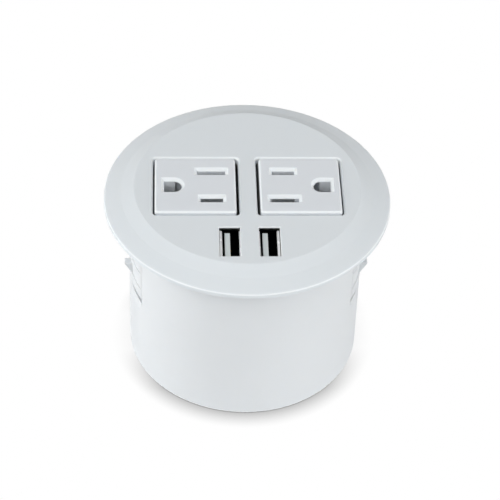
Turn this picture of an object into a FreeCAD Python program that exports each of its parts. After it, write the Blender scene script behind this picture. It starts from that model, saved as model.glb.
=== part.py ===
import FreeCAD, Part
import os
import re

import Sketcher
from FreeCAD import Rotation, Vector

# In-desk power module: a round unit that drops into a hole in a desk top.
# Millimetres. The origin is the middle of the flat bottom, +Z is up, -Y is the user's side,
# and +Y is the side where the cord would enter.

# Driving sizes, grouped by the piece that they belong to.
SIZES = {
    # Top cover: flat face, inner slope, outer slope, edge of the flange.
    "face_height": 63.6,
    "flange_overhang": 7.65,
    "outer_slope_width": 5.2,
    "inner_slope_width": 4.1,
    "inner_slope_drop": 2.1,
    "outer_slope_drop": 3.95,
    "flange_depth": 5.4,
    "flange_edge_radius": 0.7,
    "plate_thickness": 2.4,
    "spigot_depth": 4.0,
    "spigot_thickness": 1.5,
    "spigot_clearance": 0.25,
    "relief_depth": 2.0,
    "relief_side": 0.8,
    "lip_width": 2.25,
    "lip_relief": 0.5,
    # Housing: a plain cup under the cover.
    "body_radius": 36.8,
    "wall": 2.2,
    "floor": 2.5,
    "bottom_edge_radius": 1.0,
    # Outlets: standard three-pin spacing, from the middle of each face.
    "outlet_between": 6.54,
    "outlet_offset": -0.5,
    "window_corner": 1.2,
    "window_gap_side": 0.52,
    "window_gap_near": 0.12,
    "window_gap_far": 1.0,
    "window_edge": 0.55,
    "outlet_width": 25.4,
    "outlet_trim": 0.4,
    "outlet_length": 25.2,
    "outlet_depth": 6.0,
    "outlet_proud": 0.8,
    "outlet_corner": 1.0,
    "outlet_edge": 0.8,
    "outlet_ledge": 1.5,
    "outlet_ledge_thickness": 1.6,
    "outlet_skin": 1.15,
    "slot_inset": 4.8,
    "blade_spacing": 12.7,
    "ground_distance": 11.9,
    "slot_width": 1.75,
    "hot_slot_length": 6.9,
    "neutral_slot_length": 8.8,
    "slot_bevel": 0.9,
    "slot_bevel_depth": 0.9,
    "ground_width": 5.0,
    "ground_length": 5.4,
    "chamber_length": 7.0,
    "chamber_shift": 0.3,
    "chamber_reach": 3.2,
    "ground_chamber_start": 0.75,
    "ground_chamber_reach": 1.6,
    "ground_chamber_side": 1.5,
    # Contact carriers and their screws.
    "carrier_width": 24.8,
    "carrier_length": 24.4,
    "carrier_depth": 14.0,
    "carrier_floor": 1.6,
    "carrier_ear_thickness": 2.0,
    "carrier_ear_width": 4.8,
    "carrier_post_depth": 8.0,
    "carrier_post_spacing": 34.0,
    "carrier_post_inset": 1.47,
    "carrier_post_radius": 2.4,
    "carrier_screw_radius": 1.1,
    "carrier_screw_head": 2.2,
    "screw_head_height": 1.8,
    "screw_bite": 4.4,
    "pilot_clearance": 0.05,
    "screw_clearance": 0.3,
    # Contacts and bars.
    "sheet": 0.6,
    "contact_width": 5.5,
    "contact_base": 4.0,
    "contact_throat": 1.2,
    "contact_mouth": 2.8,
    "contact_rise": 11.0,
    "throat_drop": 2.4,
    "pocket_clearance": 0.3,
    "pocket_side": 0.5,
    "ground_pin_radius": 2.42,
    "ground_gap": 1.8,
    "ground_rise": 9.5,
    "tail_width": 3.0,
    "tail_clearance": 0.15,
    "hot_tail": 2.0,
    "neutral_tail": 4.5,
    "ground_tail": 7.0,
    "bar_thickness": 0.8,
    "bar_half_width": 2.2,
    # USB ports.
    "usb_window_spacing": 12.04,
    "usb_window_width": 6.3,
    "usb_window_length": 12.6,
    "usb_window_shift": 0.15,
    "usb_window_edge": 0.25,
    "usb_gap": 12.4,
    "usb_skin": 1.1,
    "usb_land": 0.45,
    "usb_recess_side": 0.45,
    "usb_recess_end": 1.3,
    "usb_spacing": 11.44,
    "usb_shell_width": 5.72,
    "usb_shell_length": 13.1,
    "usb_shell_height": 14.0,
    "usb_sheet": 0.3,
    "usb_lip": 0.45,
    "usb_lip_height": 0.5,
    "usb_lip_bevel": 0.4,
    "usb_seat": 0.1,
    "usb_tongue_offset": 1.0,
    "usb_tongue_thickness": 1.6,
    "usb_tongue_length": 11.1,
    "usb_tongue_inset": 0.45,
    "usb_base_height": 3.2,
    "usb_pin_count": 4,
    "usb_pin_width": 1.0,
    "usb_pin_pitch": 2.25,
    "usb_pin_thickness": 0.2,
    "usb_pin_length": 7.5,
    "usb_pocket_half_width": 10.6,
    "usb_pocket_front": 7.7,
    "usb_pocket_back": 9.9,
    # Charger board with its parts, placed from the middle of the ports.
    "board_thickness": 1.6,
    "board_half_width": 13.5,
    "board_nose_half_width": 9.5,
    "board_back": 9.7,
    "board_shoulder": 4.3,
    "board_front": 7.1,
    "board_post_radius": 2.0,
    "board_post_x": 11.6,
    "board_post_front": 2.1,
    "board_post_back": 8.1,
    "board_screw_radius": 0.9,
    "board_screw_head": 1.8,
    "core_width": 10.0,
    "core_length": 12.0,
    "core_height": 11.0,
    "core_limb": 2.5,
    "core_x": -4.4,
    "core_y": 1.3,
    "coil_bulge": 1.2,
    "coil_clearance": 0.1,
    "input_radius": 4.0,
    "input_height": 13.0,
    "input_x": 5.2,
    "input_y": 1.0,
    "output_radius": 2.0,
    "output_height": 8.0,
    "output_spacing": 5.0,
    "output_x": 4.0,
    "output_y": 7.1,
    # Cover screws in their towers.
    "tower_inset_x": 17.8,
    "tower_inset_y": 14.2,
    "tower_radius": 3.6,
    "tower_top": 14.0,
    "tower_roof": 3.0,
    "web_thickness": 1.6,
    "web_height": 30.0,
    "cover_post_radius": 3.2,
    "well_radius": 2.6,
    "cover_screw_radius": 1.4,
    "cover_screw_head": 2.4,
    "cover_screw_bite": 9.0,
    # Snap tongues in the side walls.
    "tongue_half_width": 16.4,
    "tongue_gap": 0.25,
    "tongue_root": 14.0,
    "tongue_slot": 35.6,
    "tongue_slot_height": 2.7,
    "tongue_lip": 0.4,
    "tongue_lip_height": 2.6,
    "tooth_count": 2,
    "tooth_start": 3.7,
    "tooth_pitch": 6.5,
    "tooth_step": 0.25,
    "tooth_slope": 4.2,
    "tooth_angle": 52.0,
    "barb_place": 7.5,
    "barb_width": 2.3,
    "barb_top": 24.7,
    "barb_land": 0.3,
    "barb_ramp": 4.3,
    "barb_reach": 1.3,
    # Cord inlet in the rear wall.
    "inlet_height": 14.0,
    "inlet_boss_radius": 9.0,
    "inlet_flat_depth": 1.6,
    "inlet_wall": 4.0,
    "inlet_recess_radius": 7.7,
    "bushing_radius": 5.6,
    "bushing_clearance": 0.05,
    "bushing_flange_radius": 7.2,
    "bushing_flange": 0.9,
    "bushing_tail": 1.8,
    "bushing_bore": 4.2,
    "bushing_edge": 0.4,
}

# Levels and places worked out from the driving sizes, as expressions of the sheet.
PLATE_UNDER = "(face_height - plate_thickness)"
FLANGE_RADIUS = "(body_radius + flange_overhang)"
CREASE_RADIUS = "(body_radius + flange_overhang - outer_slope_width)"
FACE_RADIUS = "(body_radius + flange_overhang - outer_slope_width - inner_slope_width)"
FLANGE_UNDER = "(face_height - flange_depth)"
SPIGOT_RADIUS = "(body_radius - wall - spigot_clearance)"
OUTLET_TOP = "(face_height + outlet_proud)"
OUTLET_UNDER = "(face_height - outlet_depth)"
CARRIER_UNDER = "(face_height - outlet_depth - carrier_depth)"
POCKET_FLOOR = "(face_height - outlet_depth - carrier_depth + carrier_floor)"
CARRIER_EAR_TOP = "(face_height - carrier_post_depth)"
CARRIER_EAR_UNDER = "(face_height - carrier_post_depth - carrier_ear_thickness)"
OUTLET_X = "((outlet_width + outlet_between) / 2)"
USB_X = "(usb_spacing / 2)"
USB_Y = "(outlet_offset - outlet_length / 2 - usb_gap)"
USB_WINDOW_X = "(usb_window_spacing / 2)"
USB_MOUTH = "(face_height - usb_skin - usb_seat)"
BOARD_TOP = "(face_height - usb_skin - usb_seat - usb_shell_height)"
BOARD_UNDER = "(face_height - usb_skin - usb_seat - usb_shell_height - board_thickness)"
TOWER_X = "(body_radius - tower_inset_x)"
TOWER_Y = "(body_radius - tower_inset_y)"
TOWER_TOP = "(face_height - tower_top)"
WELL_TOP = "(face_height - tower_top - tower_roof)"
GROUND_X = "(ground_distance - slot_inset)"
GROUND_CENTRE = "(ground_distance - slot_inset - ground_length / 2 + ground_width / 2)"
CARRIER_POST_X = "((outlet_width + outlet_between) / 2 - carrier_post_inset)"
TONGUE_END = "(face_height - tongue_slot + tongue_slot_height)"
SLOT_UNDER = "(face_height - tongue_slot)"
INLET_FLAT = "(body_radius - inlet_flat_depth)"
INLET_INNER = "(body_radius - inlet_flat_depth - inlet_wall)"

# Each blade slot: the sign of its place across the face, and its length.
BLADE_SLOTS = [("", "hot_slot_length"), ("-", "neutral_slot_length")]

# Where the screws stand.
COVER_SCREWS = [(side + TOWER_X, end + TOWER_Y) for side in ("-", "") for end in ("-", "")]
CARRIER_SCREWS = [(side + CARRIER_POST_X, f"outlet_offset {end} carrier_post_spacing / 2")
                  for side in ("-", "") for end in ("-", "+")]
BOARD_SCREWS = [
    ("-board_post_x", f"{USB_Y} - board_post_front"),
    ("board_post_x", f"{USB_Y} - board_post_front"),
    ("0", f"{USB_Y} + board_post_back"),
]

# Two places nearer than this are taken as one.
TOUCH = 0.001

document = FreeCAD.newDocument("InDeskPowerModule")
sheet = document.addObject("Spreadsheet::Sheet", "Sizes")
for row, (name, size) in enumerate(SIZES.items(), start=1):
    sheet.set("A%d" % row, name.replace("_", " "))
    sheet.set("B%d" % row, str(size))
    sheet.setAlias("B%d" % row, name)
document.recompute()

pieces = []


def cells(text):
    """An expression in which each size's name points at its cell."""
    return re.sub(r"[a-z_]+", lambda word: "Sizes." + word[0] if word[0] in SIZES else word[0], text)


def number(text):
    """The value of an expression now."""
    return float(sheet.evalExpression(cells(text)))


def new_body(name):
    """A sub-part made of sketches and features."""
    body = document.addObject("PartDesign::Body", name)
    body.Label = name
    pieces.append(body)
    return body


def place(body, x, y, half_turn=False):
    """Moves a sub-part sideways, and turns it about its own upright axis."""
    if half_turn:
        body.Placement.Rotation = Rotation(Vector(0, 0, 1), 180)
    body.setExpression("Placement.Base.x", cells(x))
    body.setExpression("Placement.Base.y", cells(y))


def origin_part(body, role):
    return next(part for part in body.Origin.OriginFeatures if part.Role == role)


def new_sketch(body, name, role, offset="0"):
    """A sketch on one of the body's own planes, lifted along the plane's normal."""
    sketch = body.newObject("Sketcher::SketchObject", name)
    sketch.AttachmentSupport = (origin_part(body, role), [""])
    sketch.MapMode = "FlatFace"
    sketch.setExpression("AttachmentOffset.Base.z", cells(offset))
    return sketch


def tie_point(sketch, shape, end, across, up):
    """Ties one point of a sketch to two expressions."""
    for kind, text in (("DistanceX", across), ("DistanceY", up)):
        place_in_list = sketch.addConstraint(Sketcher.Constraint(kind, -1, 1, shape, end, 1.0))
        sketch.setExpression("Constraints[%d]" % place_in_list, cells(text))


def draw_outline(sketch, corners):
    """A closed outline of straight lines through tied corners."""
    first = sketch.GeometryCount
    count = len(corners)
    # The corners start apart, on a curve, and the ties bring them to their places.
    starts = [Vector(index, index ** 2, 0) for index in range(count)]
    for start, finish in zip(starts, starts[1:] + starts[:1]):
        sketch.addGeometry(Part.LineSegment(start, finish), False)
    for index in range(count):
        following = first + (index + 1) % count
        sketch.addConstraint(Sketcher.Constraint("Coincident", first + index, 2, following, 1))
    for index, (across, up) in enumerate(corners):
        tie_point(sketch, first + index, 1, across, up)


def draw_rectangle(sketch, left, low, right, high):
    draw_outline(sketch, [(left, low), (right, low), (right, high), (left, high)])


def draw_centred(sketch, x, y, width, length):
    """A rectangle about a point."""
    draw_rectangle(sketch, f"{x} - {width} / 2", f"{y} - {length} / 2",
                   f"{x} + {width} / 2", f"{y} + {length} / 2")


def draw_circle(sketch, x, y, radius):
    circle = sketch.addGeometry(Part.Circle(Vector(0, 0, 0), Vector(0, 0, 1), 1.0), False)
    tie_point(sketch, circle, 3, x, y)
    place_in_list = sketch.addConstraint(Sketcher.Constraint("Radius", circle, 1.0))
    sketch.setExpression("Constraints[%d]" % place_in_list, cells(radius))


def finish_feature(body, feature, change):
    """Recomputes a feature and proves that it added or removed material."""
    document.recompute()
    before = feature.BaseFeature.Shape.Volume if feature.BaseFeature else 0.0
    if (feature.Shape.Volume - before) * change <= 0:
        raise RuntimeError(f"{body.Label}: {feature.Label} changes nothing")
    return feature


def pad(body, sketch, length, reverse=False, both_ways=False):
    feature = body.newObject("PartDesign::Pad", sketch.Name + "_pad")
    feature.Profile = sketch
    feature.Reversed = reverse
    if both_ways:
        feature.SideType = "Symmetric"
    feature.setExpression("Length", cells(length))
    return finish_feature(body, feature, 1)


def pocket(body, sketch, length=None, reverse=False, both_ways=False):
    """Cuts a sketch into the body, through all of it if no length is given."""
    feature = body.newObject("PartDesign::Pocket", sketch.Name + "_pocket")
    feature.Profile = sketch
    feature.Reversed = reverse
    if both_ways:
        feature.SideType = "Symmetric"
    if length is None:
        feature.Type = "ThroughAll"
    else:
        feature.setExpression("Length", cells(length))
    return finish_feature(body, feature, -1)


def turn(body, sketch, angle=None, cut=False):
    """Turns a sketch on the XZ plane about the upright axis, all round or evenly to both sides."""
    kind = "PartDesign::Groove" if cut else "PartDesign::Revolution"
    feature = body.newObject(kind, sketch.Name + "_turn")
    feature.Profile = sketch
    feature.ReferenceAxis = (sketch, ["V_Axis"])
    if angle:
        feature.setExpression("Angle", cells(angle))
        feature.Midplane = True
    return finish_feature(body, feature, -1 if cut else 1)


def edges_where(feature, test):
    """Names of a feature's edges that pass a test."""
    return ["Edge%d" % place for place, edge in enumerate(feature.Shape.Edges, start=1) if test(edge)]


def round_edges(body, base, names, radius):
    feature = body.newObject("PartDesign::Fillet", "round")
    feature.Base = (base, names)
    feature.setExpression("Radius", cells(radius))
    document.recompute()
    return feature


def bevel_edges(body, base, names, size, second=None):
    feature = body.newObject("PartDesign::Chamfer", "bevel")
    feature.Base = (base, names)
    feature.setExpression("Size", cells(size))
    if second:
        feature.ChamferType = "Two distances"
        feature.setExpression("Size2", cells(second))
    document.recompute()
    return feature


def is_upright(edge):
    """True for a straight edge along Z."""
    ends = [vertex.Point for vertex in edge.Vertexes]
    return len(ends) == 2 and (ends[1] - ends[0]).cross(Vector(0, 0, 1)).Length < TOUCH


def lies_at(edge, level):
    """True for an edge that lies wholly at one height."""
    return abs(edge.BoundBox.ZMin - level) < TOUCH and abs(edge.BoundBox.ZMax - level) < TOUCH


def lies_inside(edge, half_width, half_length):
    """True for an edge that lies wholly inside a rectangle about the body's axis."""
    box = edge.BoundBox
    return max(-box.XMin, box.XMax) < half_width - TOUCH and max(-box.YMin, box.YMax) < half_length - TOUCH


def make_top_cover():
    """The face and flange in one moulding, with posts under it for the screws."""
    body = new_body("top_cover")
    crown = new_sketch(body, "crown", "XZ_Plane")
    relief_inner = "body_radius + relief_side"
    draw_outline(crown, [
        ("0", PLATE_UNDER),
        (f"{SPIGOT_RADIUS} - spigot_thickness", PLATE_UNDER),
        (f"{SPIGOT_RADIUS} - spigot_thickness", f"{FLANGE_UNDER} - spigot_depth"),
        (SPIGOT_RADIUS, f"{FLANGE_UNDER} - spigot_depth"),
        (SPIGOT_RADIUS, FLANGE_UNDER),
        (relief_inner, FLANGE_UNDER),
        (relief_inner, f"{FLANGE_UNDER} + relief_depth"),
        (f"{FLANGE_RADIUS} - lip_width", f"{FLANGE_UNDER} + lip_relief"),
        (f"{FLANGE_RADIUS} - lip_width", FLANGE_UNDER),
        (FLANGE_RADIUS, FLANGE_UNDER),
        (FLANGE_RADIUS, "face_height - outer_slope_drop"),
        (CREASE_RADIUS, "face_height - inner_slope_drop"),
        (FACE_RADIUS, "face_height"),
        ("0", "face_height"),
    ])
    base = turn(body, crown)
    rim_level = number("face_height - outer_slope_drop")
    rim = edges_where(base, lambda edge: lies_at(edge, rim_level))
    round_edges(body, base, rim, "flange_edge_radius")

    windows = new_sketch(body, "windows", "XY_Plane", "face_height")
    for side in ("-", ""):
        draw_rectangle(windows, f"{side}{OUTLET_X} - outlet_width / 2 - window_gap_side",
                       "outlet_offset - outlet_length / 2 - window_gap_near",
                       f"{side}{OUTLET_X} + outlet_width / 2 + window_gap_side",
                       "outlet_offset + outlet_length / 2 + window_gap_far")
    cut = pocket(body, windows, "plate_thickness")
    corner_edges = edges_where(cut, is_upright)
    cut = round_edges(body, cut, corner_edges, "window_corner")
    face = number("face_height")
    widest = number("outlet_width")
    rims = edges_where(cut, lambda edge: lies_at(edge, face) and getattr(edge.Curve, "Radius", 0) < widest)
    bevel_edges(body, cut, rims, "window_edge")

    ports = new_sketch(body, "usb_windows", "XY_Plane", "face_height")
    for side in ("-", ""):
        draw_centred(ports, side + USB_WINDOW_X, f"{USB_Y} + usb_window_shift",
                     "usb_window_width", "usb_window_length")
    cut = pocket(body, ports, "plate_thickness")
    back = number(f"{USB_Y} + usb_window_shift + usb_window_length / 2")
    rims = edges_where(cut, lambda edge: lies_at(edge, face) and edge.BoundBox.YMax < back + TOUCH)
    bevel_edges(body, cut, rims, "usb_window_edge")

    under_ports = new_sketch(body, "usb_pocket", "XY_Plane", "face_height - usb_skin")
    draw_rectangle(under_ports, "-usb_pocket_half_width", f"{USB_Y} - usb_pocket_front",
                   "usb_pocket_half_width", f"{USB_Y} + usb_pocket_back")
    pocket(body, under_ports, "flange_depth + spigot_depth")
    # Round each port the plate is thinner still, and clears the rolled mouth of the shell.
    recesses = new_sketch(body, "port_recesses", "XY_Plane", "face_height - usb_land")
    for side in ("-", ""):
        draw_centred(recesses, side + USB_X, USB_Y,
                     "(usb_shell_width + 2 * usb_lip + 2 * usb_recess_side)",
                     "(usb_window_length + 2 * usb_recess_end)")
    pocket(body, recesses, "usb_skin - usb_land")

    add_posts(body, "cover", COVER_SCREWS, "cover_post_radius", "tower_top",
              "cover_screw_radius", "cover_screw_bite")
    add_posts(body, "carrier", CARRIER_SCREWS, "carrier_post_radius", "carrier_post_depth",
              "carrier_screw_radius", "screw_bite")
    add_posts(body, "board", BOARD_SCREWS, "board_post_radius", f"(face_height - {BOARD_TOP})",
              "board_screw_radius", "screw_bite")


def add_posts(body, title, centres, radius, depth, screw, bite):
    """Round posts from the skin of the face down, each with a pilot hole for a screw."""
    posts = new_sketch(body, title + "_posts", "XY_Plane", "face_height - usb_skin")
    for x, y in centres:
        draw_circle(posts, x, y, radius)
    pad(body, posts, f"{depth} - usb_skin", reverse=True)
    holes = new_sketch(body, title + "_pilots", "XY_Plane", f"face_height - {depth} + {bite}")
    for x, y in centres:
        draw_circle(holes, x, y, f"{screw} + pilot_clearance")
    pocket(body, holes)


def make_housing():
    """The cup, with snap tongues cut in its sides, screw towers inside and the cord inlet."""
    body = new_body("housing")
    cup = new_sketch(body, "cup", "XZ_Plane")
    draw_outline(cup, [
        ("0", "0"),
        ("body_radius", "0"),
        ("body_radius", FLANGE_UNDER),
        ("body_radius - wall", FLANGE_UNDER),
        ("body_radius - wall", "floor"),
        ("0", "floor"),
    ])
    base = turn(body, cup)
    bottom = edges_where(base, lambda edge: lies_at(edge, 0))
    round_edges(body, base, bottom, "bottom_edge_radius")

    # A slot round three sides leaves each tongue hanging from its top.
    tongue = new_sketch(body, "tongue_slots", "YZ_Plane")
    outer = "(tongue_half_width + tongue_gap)"
    root = "(face_height - tongue_root)"
    draw_outline(tongue, [
        (f"-{outer}", root),
        (f"-{outer}", SLOT_UNDER),
        (outer, SLOT_UNDER),
        (outer, root),
        ("tongue_half_width", root),
        ("tongue_half_width", TONGUE_END),
        ("-tongue_half_width", TONGUE_END),
        ("-tongue_half_width", root),
    ])
    pocket(body, tongue, both_ways=True)

    # Steps across each tongue, with their ledges up, and a sloping lip under its slot.
    steps = new_sketch(body, "teeth", "XZ_Plane")
    for side in ("", "-"):
        for count in range(SIZES["tooth_count"]):
            step = f"({TONGUE_END} + tooth_start + {count} * tooth_pitch)"
            draw_outline(steps, [
                (f"{side}(body_radius - tooth_step)", step),
                (f"{side}(body_radius + tooth_step)", step),
                (f"{side}(body_radius + tooth_step)", f"{step} + tooth_slope"),
                (f"{side}body_radius", f"{step} + tooth_slope"),
            ])
        draw_outline(steps, [
            (f"{side}(body_radius - tongue_lip)", f"{SLOT_UNDER} + tooth_step"),
            (f"{side}(body_radius - tongue_lip)", SLOT_UNDER),
            (f"{side}body_radius", f"{SLOT_UNDER} - tongue_lip_height"),
            (f"{side}(body_radius + tooth_step)", f"{SLOT_UNDER} - tongue_lip_height"),
            (f"{side}(body_radius + tooth_step)", f"{SLOT_UNDER} + tooth_step"),
        ])
    turn(body, steps, "tooth_angle", cut=True)

    # Two barbs on each tongue, which spring out under the desk top.
    top = "(face_height - barb_top)"
    low = f"{top} - barb_land - barb_ramp"
    for row, y in (("front", "barb_place"), ("back", "-barb_place")):
        hooks = new_sketch(body, row + "_barbs", "XZ_Plane", y)
        for side in ("", "-"):
            draw_outline(hooks, [
                (f"{side}(body_radius - wall)", top),
                (f"{side}(body_radius + barb_reach)", top),
                (f"{side}(body_radius + barb_reach)", f"{top} - barb_land"),
                (f"{side}(body_radius - wall / 2)", low),
                (f"{side}(body_radius - wall)", low),
            ])
        pad(body, hooks, "barb_width", both_ways=True)

    # Towers from the floor up to the cover's posts, with deep wells for the screw heads.
    towers = new_sketch(body, "towers", "XY_Plane", "floor / 2")
    wells = new_sketch(body, "wells", "XY_Plane")
    shafts = new_sketch(body, "shafts", "XY_Plane")
    for x, y in COVER_SCREWS:
        draw_circle(towers, x, y, "tower_radius")
        draw_circle(wells, x, y, "well_radius")
        draw_circle(shafts, x, y, "cover_screw_radius + screw_clearance")
    pad(body, towers, f"{TOWER_TOP} - floor / 2")
    # A web ties each tower to the wall.
    webs = new_sketch(body, "webs", "XY_Plane", "floor / 2")
    reach = f"sqrt((body_radius - wall / 2) ^ 2 - {TOWER_Y} ^ 2)"
    for side in ("-", ""):
        for end in ("-", ""):
            draw_rectangle(webs, side + TOWER_X, f"{end}{TOWER_Y} - web_thickness / 2",
                           side + reach, f"{end}{TOWER_Y} + web_thickness / 2")
    pad(body, webs, "web_height")
    pocket(body, wells, WELL_TOP, reverse=True)
    pocket(body, shafts, TOWER_TOP, reverse=True)

    # The rear wall is thickened inside and cut flat outside where the cord enters.
    boss = new_sketch(body, "inlet_boss", "XZ_Plane", "-" + INLET_INNER)
    draw_circle(boss, "0", "inlet_height", "inlet_boss_radius")
    pad(body, boss, "inlet_wall", reverse=True)
    flat = new_sketch(body, "inlet_recess", "XZ_Plane", "-" + INLET_FLAT)
    draw_circle(flat, "0", "inlet_height", "inlet_recess_radius")
    pocket(body, flat, "body_radius")
    hole = new_sketch(body, "inlet_hole", "XZ_Plane", "-" + INLET_INNER)
    draw_circle(hole, "0", "inlet_height", "bushing_radius + bushing_clearance")
    pocket(body, hole, "body_radius")


def make_outlet_face(name, side, half_turn):
    """A thin-skinned face with two blade slots and a ground hole, and a chamber behind each."""
    body = new_body(name)
    block = new_sketch(body, "block", "XY_Plane", OUTLET_UNDER)
    # The face stops a little short at the side of its blade slots.
    left, right = "outlet_trim - outlet_width / 2", "outlet_width / 2"
    draw_rectangle(block, left, "-outlet_length / 2", right, "outlet_length / 2")
    base = pad(body, block, "outlet_depth + outlet_proud")
    base = round_edges(body, base, edges_where(base, is_upright), "outlet_corner")
    top = number(OUTLET_TOP)
    round_edges(body, base, edges_where(base, lambda edge: lies_at(edge, top)), "outlet_edge")
    ledge = new_sketch(body, "ledge", "XY_Plane", f"{PLATE_UNDER} - outlet_ledge_thickness")
    draw_rectangle(ledge, left, "-outlet_length / 2 - outlet_ledge",
                   right, "outlet_length / 2 + outlet_ledge")
    pad(body, ledge, "outlet_ledge_thickness")

    slots = new_sketch(body, "slots", "XY_Plane", OUTLET_TOP)
    for side_of_slot, length in BLADE_SLOTS:
        draw_centred(slots, "-slot_inset", side_of_slot + "blade_spacing / 2", length, "slot_width")
    # The ground hole is flat on its outer side and round towards the blade slots.
    draw_rectangle(slots, GROUND_CENTRE, "-ground_width / 2",
                   f"{GROUND_X} + ground_length / 2", "ground_width / 2")
    pocket(body, slots)
    rounding = new_sketch(body, "ground_round", "XY_Plane", OUTLET_TOP)
    draw_circle(rounding, GROUND_CENTRE, "0", "ground_width / 2")
    cut = pocket(body, rounding)
    half_width = number("outlet_width / 2 - outlet_trim - outlet_edge")
    half_length = number("outlet_length / 2 - outlet_edge")
    mouths = edges_where(cut, lambda edge: lies_at(edge, top) and lies_inside(edge, half_width, half_length))
    bevel_edges(body, cut, mouths, "slot_bevel", "slot_bevel_depth")

    chambers = new_sketch(body, "chambers", "XY_Plane", f"{OUTLET_TOP} - outlet_skin")
    # Each blade chamber widens from its slot towards the middle of the face.
    for side_of_slot, length in BLADE_SLOTS:
        outer = f"{side_of_slot}(blade_spacing / 2 + slot_width / 2)"
        inner = f"{side_of_slot}(blade_spacing / 2 - slot_width / 2 - chamber_reach)"
        draw_rectangle(chambers, "-slot_inset - chamber_shift - chamber_length / 2", outer,
                       "-slot_inset - chamber_shift + chamber_length / 2", inner)
    # The ground chamber is wider than its hole at the round side only.
    draw_rectangle(chambers, f"{GROUND_X} - ground_length / 2 - ground_chamber_reach",
                   "-ground_width / 2 - ground_chamber_side", f"{GROUND_X} - ground_chamber_start",
                   "ground_width / 2 + ground_chamber_side")
    pocket(body, chambers)
    place(body, side + OUTLET_X, "outlet_offset", half_turn)


def make_contact_carrier(name, side, half_turn):
    """The body under a face: a pocket for each contact, and an ear at each end for a screw."""
    body = new_body(name)
    block = new_sketch(body, "block", "XY_Plane", CARRIER_UNDER)
    draw_centred(block, "0", "0", "carrier_width", "carrier_length")
    pad(body, block, "carrier_depth")
    ears = new_sketch(body, "ears", "XY_Plane", CARRIER_EAR_UNDER)
    draw_centred(ears, "-carrier_post_inset", "0", "carrier_ear_width",
                 "(carrier_post_spacing + carrier_ear_width)")
    pad(body, ears, "carrier_ear_thickness")
    holes = new_sketch(body, "screw_holes", "XY_Plane", CARRIER_EAR_TOP)
    for end in ("-", ""):
        draw_circle(holes, "-carrier_post_inset", end + "carrier_post_spacing / 2",
                    "carrier_screw_radius + screw_clearance")
    pocket(body, holes, "carrier_ear_thickness")

    pockets = new_sketch(body, "pockets", "XY_Plane", OUTLET_UNDER)
    tails = new_sketch(body, "tail_slots", "XY_Plane", OUTLET_UNDER)
    for side_of_slot, length in BLADE_SLOTS:
        y = side_of_slot + "blade_spacing / 2"
        draw_centred(pockets, "-slot_inset", y, f"({length} + 2 * pocket_side)",
                     "(contact_base + 2 * pocket_clearance)")
        draw_centred(tails, "-slot_inset", y, "(tail_width + 2 * tail_clearance)",
                     "(sheet + 2 * tail_clearance)")
    ground_pocket = "(2 * ground_pin_radius + 2 * sheet + 2 * pocket_clearance)"
    draw_centred(pockets, GROUND_X, "0", ground_pocket, ground_pocket)
    draw_centred(tails, GROUND_X, "0", "(tail_width + 2 * tail_clearance)", "(sheet + 2 * tail_clearance)")
    pocket(body, pockets, "carrier_depth - carrier_floor")
    pocket(body, tails)
    place(body, side + OUTLET_X, "outlet_offset", half_turn)


def add_tail(body, length):
    """The strip that leaves a contact through the carrier's floor."""
    tail = new_sketch(body, "tail", "XY_Plane", f"{POCKET_FLOOR} + sheet / 2")
    draw_centred(tail, "0", "0", "tail_width", "sheet")
    pad(body, tail, f"sheet / 2 + carrier_floor + {length}", reverse=True)


def make_blade_contact(name, x, y, tail):
    """A folded brass clip: two leaves close in to a throat and flare to a mouth."""
    body = new_body(name)
    section = new_sketch(body, "section", "YZ_Plane")
    top = f"({POCKET_FLOOR} + contact_rise)"
    throat = f"({top} - throat_drop)"
    base = "contact_base / 2"
    outline = [
        (base, POCKET_FLOOR),
        (base, f"{POCKET_FLOOR} + 2 * sheet"),
        ("contact_throat / 2 + sheet", throat),
        ("contact_mouth / 2 + sheet", top),
        ("contact_mouth / 2", top),
        ("contact_throat / 2", throat),
        (f"{base} - sheet", f"{POCKET_FLOOR} + 2 * sheet"),
        (f"{base} - sheet", f"{POCKET_FLOOR} + sheet"),
    ]
    mirrored = [(f"-({across})", up) for across, up in reversed(outline)]
    draw_outline(section, outline + mirrored)
    pad(body, section, "contact_width", both_ways=True)
    add_tail(body, tail)
    place(body, x, y)


def make_ground_contact(name, x):
    """A split brass sleeve for the round pin."""
    body = new_body(name)
    foot = new_sketch(body, "foot", "XY_Plane", POCKET_FLOOR)
    draw_circle(foot, "0", "0", "ground_pin_radius + sheet")
    pad(body, foot, "ground_rise")
    bore = new_sketch(body, "bore", "XY_Plane", f"{POCKET_FLOOR} + ground_rise")
    draw_circle(bore, "0", "0", "ground_pin_radius")
    pocket(body, bore, "ground_rise - sheet")
    split = new_sketch(body, "split", "XY_Plane", f"{POCKET_FLOOR} + ground_rise")
    draw_centred(split, "0", "0", "(2 * ground_pin_radius + 4 * sheet)", "ground_gap")
    pocket(body, split, "ground_rise - 3 * sheet")
    add_tail(body, "ground_tail")
    place(body, x, "outlet_offset")


def make_bar(name, level, slant):
    """A flat brass bar from the left contact to the right one; the sign slant turns it the other way."""
    body = new_body(name)
    strip = new_sketch(body, "strip", "XY_Plane", f"{CARRIER_UNDER} - {level} - bar_thickness")
    x = f"({OUTLET_X} - slot_inset)"
    y = "blade_spacing / 2"
    half = "bar_half_width"
    corners = [
        (f"-{x} - {half}", f"-{y} - {half}"),
        (f"-{x} + {half}", f"-{y} - {half}"),
        (f"{x} + {half}", f"{y} - {half}"),
        (f"{x} + {half}", f"{y} + {half}"),
        (f"{x} - {half}", f"{y} + {half}"),
        (f"-{x} - {half}", f"-{y} + {half}"),
    ]
    draw_outline(strip, [(across, f"{slant}({up})") for across, up in corners])
    pad(body, strip, "bar_thickness")
    place(body, "0", "outlet_offset")


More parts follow.
